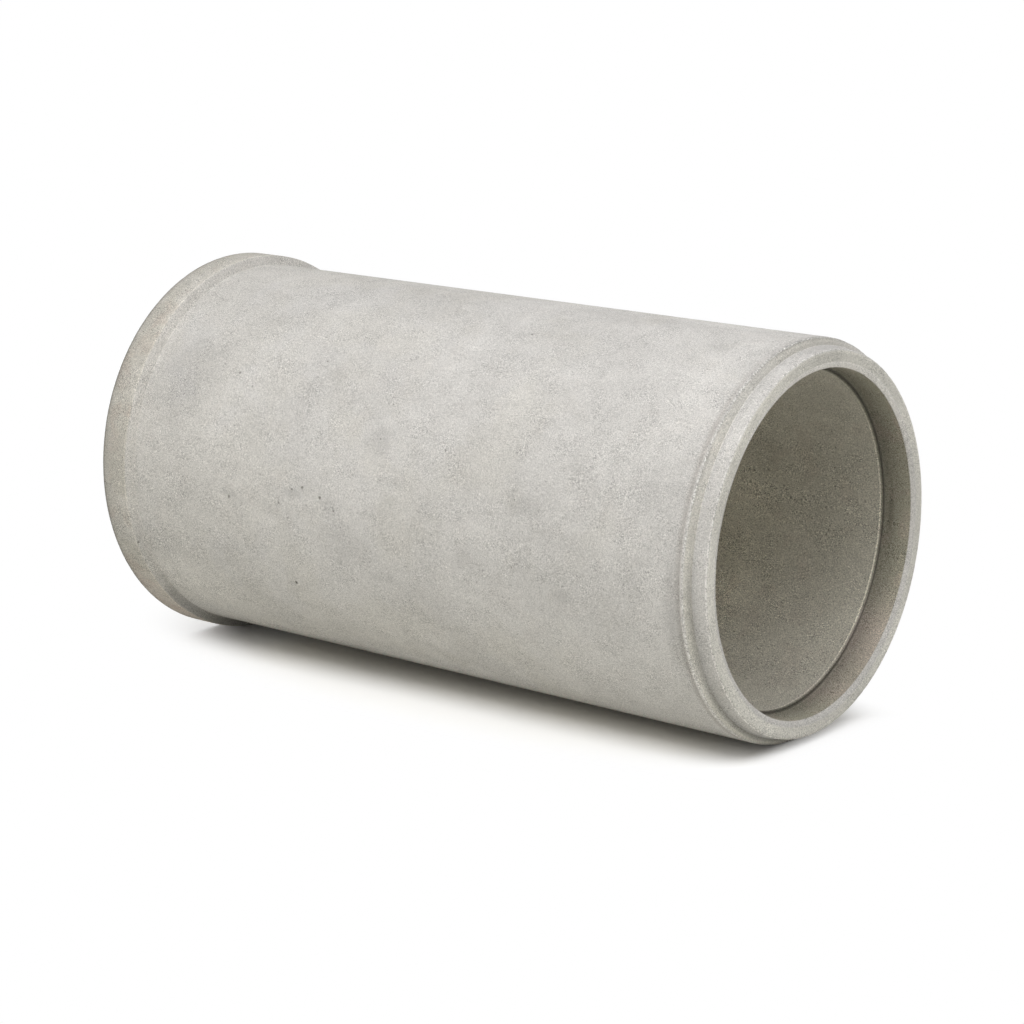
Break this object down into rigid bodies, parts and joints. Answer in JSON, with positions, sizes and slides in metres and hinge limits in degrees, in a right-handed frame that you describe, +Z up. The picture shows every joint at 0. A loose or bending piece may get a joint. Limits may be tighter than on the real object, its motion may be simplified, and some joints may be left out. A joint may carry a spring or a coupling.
{
  "type": "concrete sewer pipe",
  "caption": "Round concrete sewer pipe lying on its side, with a socket inside a low collar at the rear end and a stepped, tapered spigot at the front end.",
  "frame": {"origin": "on the floor, under the middle of the lying pipe", "axes": "+X along the pipe from the collar to the spigot, +Z up from the floor"},
  "size_m": [1.047, 0.5616, 0.5622],
  "materials": {
    "concrete": "dry-cast pale grey concrete, matt, finely sanded, with small pores and chipped edges"
  },
  "bodies": {
    "root": {"concrete_pipe": "concrete"}
  },
  "joints": []
}
